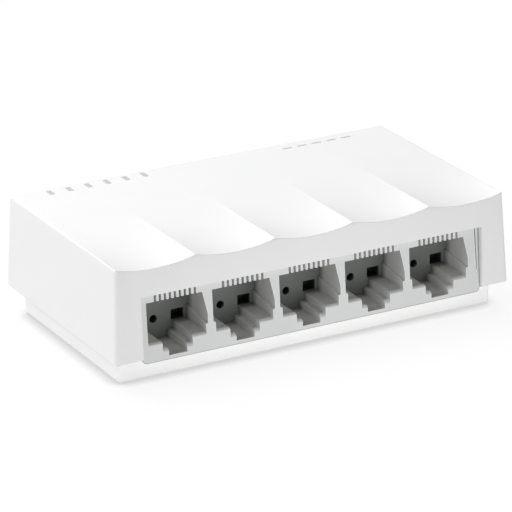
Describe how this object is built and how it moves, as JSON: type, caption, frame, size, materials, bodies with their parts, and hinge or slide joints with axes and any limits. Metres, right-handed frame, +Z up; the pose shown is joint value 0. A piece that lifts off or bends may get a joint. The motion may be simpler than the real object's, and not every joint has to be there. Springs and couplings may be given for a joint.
{
  "type": "desktop network switch",
  "caption": "Small white desktop network switch: scalloped cover over a row of grey modular jacks, inset base tray, lamp windows on top, power inlet behind.",
  "frame": {"origin": "centre of the footprint, on the surface that the rubber feet stand on", "axes": "+X to the right when facing the ports, along the row of ports; +Y from the ports to the back; +Z up"},
  "size_m": [0.0838, 0.0474, 0.0234],
  "materials": {
    "cover_plastic": "fine matt moulded white",
    "base_plastic": "fine matt moulded white",
    "jack_plastic": "satin moulded light grey",
    "contact_metal": "plated spring wire",
    "carrier_plastic": "moulded black",
    "board_laminate": "green solder mask",
    "chip_moulding": "black moulding compound",
    "lead_metal": "tin-plated",
    "can_metal": "drawn can",
    "inductor_ferrite": "ferrite",
    "chip_ceramic": "fired ceramic",
    "led_resin": "clear resin",
    "light_guide_plastic": "frosted translucent",
    "socket_plastic": "moulded black",
    "foot_rubber": "soft grey rubber",
    "screw_steel": "zinc-plated",
    "label_film": "blank silver-white film"
  },
  "bodies": {
    "housing": {"top_cover": "cover_plastic", "bottom_cover": "base_plastic", "jack_housing": "jack_plastic", "port_1_contact_pins": "contact_metal", "port_1_contact_carrier": "carrier_plastic", "port_2_contact_pins": "contact_metal", "port_2_contact_carrier": "carrier_plastic", "port_3_contact_pins": "contact_metal", "port_3_contact_carrier": "carrier_plastic", "port_4_contact_pins": "contact_metal", "port_4_contact_carrier": "carrier_plastic", "port_5_contact_pins": "contact_metal", "port_5_contact_carrier": "carrier_plastic", "circuit_board": "board_laminate", "switch_chip": "chip_moulding", "switch_chip_leads": "lead_metal", "line_transformer_1": "chip_moulding", "line_transformer_1_leads": "lead_metal", "line_transformer_2": "chip_moulding", "line_transformer_2_leads": "lead_metal", "line_transformer_3": "chip_moulding", "line_transformer_3_leads": "lead_metal", "crystal": "can_metal", "electrolytic_capacitor": "can_metal", "power_inductor": "inductor_ferrite", "voltage_regulator": "chip_moulding", "chip_resistors": "chip_moulding", "chip_capacitors": "chip_ceramic", "port_1_led": "led_resin", "port_2_led": "led_resin", "port_3_led": "led_resin", "port_4_led": "led_resin", "port_5_led": "led_resin", "power_led": "led_resin", "light_guide": "light_guide_plastic", "power_socket_housing": "socket_plastic", "power_socket_pin": "contact_metal", "power_socket_terminals": "lead_metal", "foot_front_left": "foot_rubber", "foot_front_right": "foot_rubber", "foot_back_left": "foot_rubber", "foot_back_right": "foot_rubber", "cover_screws": "screw_steel", "board_screws": "screw_steel", "rating_label": "label_film"},
    "port_1_springs": {"port_1_contact_springs": "contact_metal"},
    "port_2_springs": {"port_2_contact_springs": "contact_metal"},
    "port_3_springs": {"port_3_contact_springs": "contact_metal"},
    "port_4_springs": {"port_4_contact_springs": "contact_metal"},
    "port_5_springs": {"port_5_contact_springs": "contact_metal"},
    "power_leaf": {"power_socket_leaf": "contact_metal"}
  },
  "joints": [
    {"name": "port_1_spring_flex", "type": "hinge", "parent": "housing", "child": "port_1_springs", "pos_m": [-0.02869, -0.02075, 0.01755], "axis": [1, 0, 0], "range_deg": [0, 6], "stiffness_Nm_per_rad": 0.05},
    {"name": "port_2_spring_flex", "type": "hinge", "parent": "housing", "child": "port_2_springs", "pos_m": [-0.01472, -0.02075, 0.01755], "axis": [1, 0, 0], "range_deg": [0, 6], "stiffness_Nm_per_rad": 0.05},
    {"name": "port_3_spring_flex", "type": "hinge", "parent": "housing", "child": "port_3_springs", "pos_m": [-0.00075, -0.02075, 0.01755], "axis": [1, 0, 0], "range_deg": [0, 6], "stiffness_Nm_per_rad": 0.05},
    {"name": "port_4_spring_flex", "type": "hinge", "parent": "housing", "child": "port_4_springs", "pos_m": [0.01322, -0.02075, 0.01755], "axis": [1, 0, 0], "range_deg": [0, 6], "stiffness_Nm_per_rad": 0.05},
    {"name": "port_5_spring_flex", "type": "hinge", "parent": "housing", "child": "port_5_springs", "pos_m": [0.02719, -0.02075, 0.01755], "axis": [1, 0, 0], "range_deg": [0, 6], "stiffness_Nm_per_rad": 0.05},
    {"name": "power_leaf_flex", "type": "hinge", "parent": "housing", "child": "power_leaf", "pos_m": [0.02225, 0.01275, 0.0114], "axis": [0, 0, 1], "range_deg": [0, 5], "stiffness_Nm_per_rad": 0.05}
  ]
}
